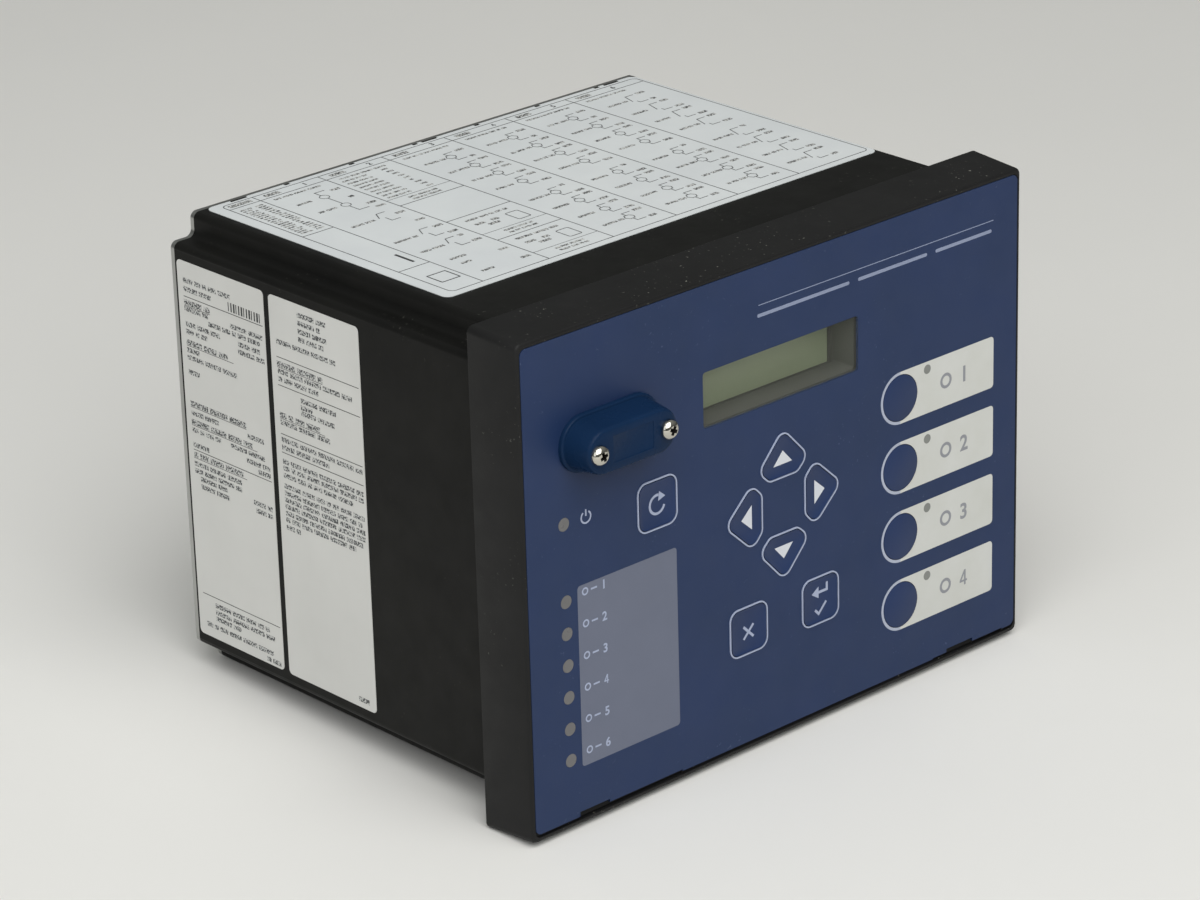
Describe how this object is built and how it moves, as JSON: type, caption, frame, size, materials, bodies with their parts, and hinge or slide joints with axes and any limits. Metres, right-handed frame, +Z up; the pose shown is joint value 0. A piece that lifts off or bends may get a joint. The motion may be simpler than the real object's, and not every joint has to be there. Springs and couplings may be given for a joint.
{
  "type": "protection relay",
  "caption": "Panel-mounted digital protection relay: wide bezel with keys, lamps and display, extruded housing behind it, terminals at the back.",
  "frame": {"origin": "centre of the panel cut-out, in the plane of the panel's front face, where the bezel's back rests", "axes": "+X to the right of somebody who faces the front, +Y towards the back, +Z up"},
  "size_m": [0.194, 0.1759, 0.146],
  "materials": {
    "housing": "black powder coat on an extrusion",
    "bezel": "black, finely textured moulding",
    "overlay_film": "blue textured polyester film",
    "key_film": "blue textured polyester film over a moulded key",
    "window": "clear",
    "display_glass": "grey-green display",
    "black_metal": "black",
    "circuit_board": "green solder mask",
    "brass": "bright",
    "black_plastic": "moulded",
    "light_pipe": "smoky clear",
    "lamp_card": "grey-blue card",
    "button_card": "off-white card",
    "cover_plastic": "dark blue moulding",
    "chrome_screws": "bright",
    "zinc_screws": "zinc plated",
    "connector_shell": "nickel plated",
    "guide_plastic": "off-white moulding",
    "transformer": "taped winding on a ferrite core",
    "capacitor": "dark sleeve",
    "relay_case": "blue moulding",
    "plug_plastic": "green moulding",
    "bare_sheet": "bare sheet",
    "label_paper": "white satin label",
    "gasket": "soft foam"
  },
  "bodies": {
    "housing": {"chassis_sleeve": "housing", "front_bezel": "bezel", "panel_gasket": "gasket", "bezel_screws": "zinc_screws", "front_overlay": "overlay_film", "display_window": "window", "display_glass": "display_glass", "display_frame": "black_metal", "display_board": "circuit_board", "display_standoffs": "brass", "key_switches": "black_plastic", "status_light_pipe": "light_pipe", "button_light_pipe": "light_pipe", "lamp_label_card": "lamp_card", "button_label_card": "button_card", "port_cover": "cover_plastic", "port_cover_screws": "chrome_screws", "serial_connector": "connector_shell", "serial_standoffs": "connector_shell", "front_board": "circuit_board", "front_board_screws": "zinc_screws", "interboard_connector": "black_plastic", "backplane_board": "circuit_board", "upper_card_guide": "guide_plastic", "lower_card_guide": "guide_plastic", "power_supply_card": "circuit_board", "processor_card": "circuit_board", "input_card": "circuit_board", "analogue_card": "circuit_board", "output_card_1": "circuit_board", "output_card_2": "circuit_board", "power_transformer": "transformer", "power_capacitors": "capacitor", "output_relays": "relay_case", "terminal_screws": "zinc_screws", "network_sockets": "connector_shell", "rear_serial_connector": "connector_shell", "rear_panel": "bare_sheet", "rear_panel_screws": "zinc_screws", "ground_terminal": "zinc_screws", "top_label": "label_paper", "side_label_rear": "label_paper", "side_label_front": "label_paper", "terminal_plug_1": "plug_plastic", "terminal_plug_2": "plug_plastic", "terminal_plug_3": "plug_plastic", "terminal_plug_4": "plug_plastic", "terminal_plug_5": "plug_plastic"},
    "key_up": {"key_up": "key_film"},
    "key_down": {"key_down": "key_film"},
    "key_left": {"key_left": "key_film"},
    "key_right": {"key_right": "key_film"},
    "key_escape": {"key_escape": "key_film"},
    "key_enter": {"key_enter": "key_film"},
    "key_reset": {"key_reset": "key_film"},
    "push_button_1": {"push_button_1": "key_film"},
    "push_button_2": {"push_button_2": "key_film"},
    "push_button_3": {"push_button_3": "key_film"},
    "push_button_4": {"push_button_4": "key_film"}
  },
  "joints": [
    {"name": "key_up_press", "type": "slide", "parent": "housing", "child": "key_up", "axis": [0, 1, 0], "range_m": [0, 0.0004], "stiffness_N_per_m": 1200},
    {"name": "key_down_press", "type": "slide", "parent": "housing", "child": "key_down", "axis": [0, 1, 0], "range_m": [0, 0.0004], "stiffness_N_per_m": 1200},
    {"name": "key_left_press", "type": "slide", "parent": "housing", "child": "key_left", "axis": [0, 1, 0], "range_m": [0, 0.0004], "stiffness_N_per_m": 1200},
    {"name": "key_right_press", "type": "slide", "parent": "housing", "child": "key_right", "axis": [0, 1, 0], "range_m": [0, 0.0004], "stiffness_N_per_m": 1200},
    {"name": "key_escape_press", "type": "slide", "parent": "housing", "child": "key_escape", "axis": [0, 1, 0], "range_m": [0, 0.0004], "stiffness_N_per_m": 1200},
    {"name": "key_enter_press", "type": "slide", "parent": "housing", "child": "key_enter", "axis": [0, 1, 0], "range_m": [0, 0.0004], "stiffness_N_per_m": 1200},
    {"name": "key_reset_press", "type": "slide", "parent": "housing", "child": "key_reset", "axis": [0, 1, 0], "range_m": [0, 0.0004], "stiffness_N_per_m": 1200},
    {"name": "push_button_1_press", "type": "slide", "parent": "housing", "child": "push_button_1", "axis": [0, 1, 0], "range_m": [0, 0.0004], "stiffness_N_per_m": 1200},
    {"name": "push_button_2_press", "type": "slide", "parent": "housing", "child": "push_button_2", "axis": [0, 1, 0], "range_m": [0, 0.0004], "stiffness_N_per_m": 1200},
    {"name": "push_button_3_press", "type": "slide", "parent": "housing", "child": "push_button_3", "axis": [0, 1, 0], "range_m": [0, 0.0004], "stiffness_N_per_m": 1200},
    {"name": "push_button_4_press", "type": "slide", "parent": "housing", "child": "push_button_4", "axis": [0, 1, 0], "range_m": [0, 0.0004], "stiffness_N_per_m": 1200}
  ]
}
